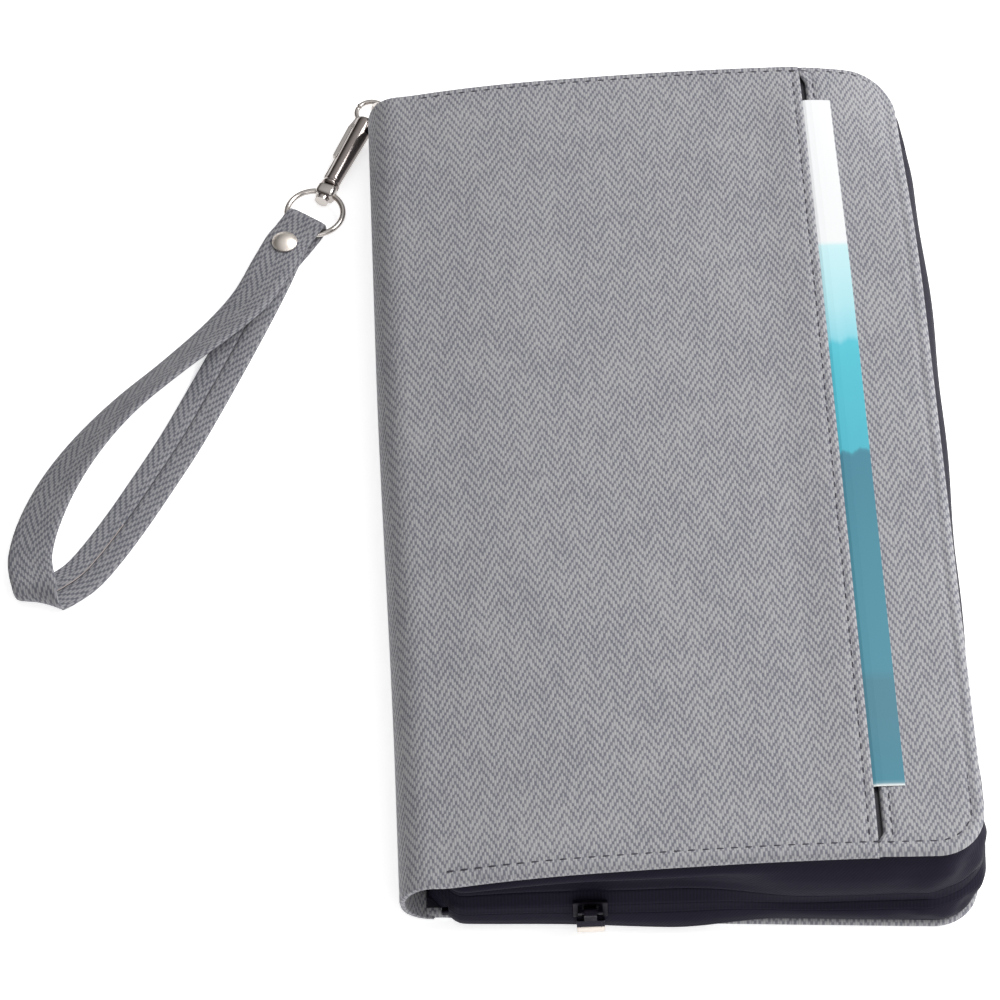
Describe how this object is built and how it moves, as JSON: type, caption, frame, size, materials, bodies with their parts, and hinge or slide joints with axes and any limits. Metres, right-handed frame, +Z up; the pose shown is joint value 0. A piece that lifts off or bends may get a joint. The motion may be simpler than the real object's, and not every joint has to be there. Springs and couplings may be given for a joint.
{
  "type": "passport holder wallet",
  "caption": "Zip-round passport holder wallet with a slip pocket and leaflet, inner pockets, snap hook, swivel loop and riveted wrist strap.",
  "frame": {"origin": "middle of the back cover's rest face", "axes": "+X from the spine to the zip side, +Y up the covers' height, +Z up out of the back cover, with the wallet lying on its back"},
  "size_m": [0.2324, 0.2572, 0.0237],
  "materials": {
    "herringbone": "grey herringbone weave, slightly shiny",
    "board": "raw grey-brown stiffener",
    "lining": "smooth dark lining cloth",
    "gusset_twill": "dark navy-black twill",
    "zip_tape": "ribbed woven tape",
    "zip_coil": "moulded coil",
    "elastic": "ribbed elastic",
    "leaflet_paper": null,
    "nickel": "polished nickel plate",
    "dark_metal": "black lacquered metal, slightly glossy",
    "spring_steel": "plain"
  },
  "bodies": {
    "back": {"back_cover": "herringbone", "back_board": "board", "back_lining": "lining", "spine_cover": "herringbone", "spine_lining": "lining", "back_gusset": "gusset_twill", "back_zip_tape": "zip_tape", "back_zip_coil": "zip_coil", "zip_end_stops": "dark_metal", "document_pocket": "lining", "card_slot_1": "gusset_twill", "card_slot_2": "gusset_twill", "card_slot_3": "gusset_twill", "card_slot_4": "gusset_twill", "pen_loop": "elastic", "ring_tab": "gusset_twill"},
    "front": {"front_cover": "herringbone", "front_spine_fold": "herringbone", "front_board": "board", "front_lining": "lining", "pocket_lining": "lining", "slip_pocket_panel": "herringbone", "front_gusset": "gusset_twill", "front_zip_tape": "zip_tape", "front_zip_coil": "zip_coil", "boarding_pass_pocket": "lining", "passport_sleeve": "gusset_twill"},
    "leaflet": {"leaflet": "leaflet_paper"},
    "zip_slider": {"zip_slider": "dark_metal"},
    "puller": {"puller_link": "dark_metal", "puller_tab": "gusset_twill", "puller_end": "nickel"},
    "d_ring": {"d_ring": "nickel"},
    "snap_hook": {"hook_body": "nickel", "pivot_pin": "nickel", "trigger_spring": "spring_steel", "swivel_rivet": "nickel"},
    "trigger": {"trigger_lever": "nickel"},
    "swivel_loop": {"swivel_loop": "nickel"},
    "strap": {"wrist_strap": "herringbone", "rivet_post": "nickel", "rivet_cap": "nickel"}
  },
  "joints": [
    {"name": "cover_hinge", "type": "hinge", "parent": "back", "child": "front", "pos_m": [-0.06687, 0, 0.01387], "axis": [0, -1, 0], "range_deg": [0, 170]},
    {"name": "leaflet_slide", "type": "slide", "parent": "front", "child": "leaflet", "axis": [0.9976, 0, 0.0691], "range_m": [-0.004, 0.085]},
    {"name": "zip_slide", "type": "slide", "parent": "back", "child": "zip_slider", "axis": [0.9991, -0.0265, 0.0346], "range_m": [-0.027, 0.072]},
    {"name": "puller_swing", "type": "hinge", "parent": "zip_slider", "child": "puller", "pos_m": [-0.02311, -0.12342, 0.00991], "axis": [-0.9991, 0.0265, -0.0346], "range_deg": [0, 160]},
    {"name": "ring_swing", "type": "hinge", "parent": "back", "child": "d_ring", "pos_m": [-0.0625, 0.1216, 0.0054], "axis": [0, 0, 1], "range_deg": [-90, 2]},
    {"name": "hook_swing", "type": "hinge", "parent": "d_ring", "child": "snap_hook", "pos_m": [-0.06674, 0.12666, 0.0032], "axis": [0, 0, 1], "range_deg": [-100, 2]},
    {"name": "trigger_press", "type": "hinge", "parent": "snap_hook", "child": "trigger", "pos_m": [-0.07259, 0.12237, 0.0032], "axis": [0, 0, 1], "range_deg": [0, 11], "stiffness_Nm_per_rad": 0.01, "springref_deg": -5.73},
    {"name": "swivel_turn", "type": "hinge", "parent": "snap_hook", "child": "swivel_loop", "pos_m": [-0.08029, 0.10135, 0.0032], "axis": [0.4226, 0.9063, 0], "continuous": true},
    {"name": "strap_swing", "type": "hinge", "parent": "swivel_loop", "child": "strap", "pos_m": [-0.08338, 0.09473, 0.0032], "axis": [0, 0, 1], "range_deg": [-72, 22]}
  ]
}
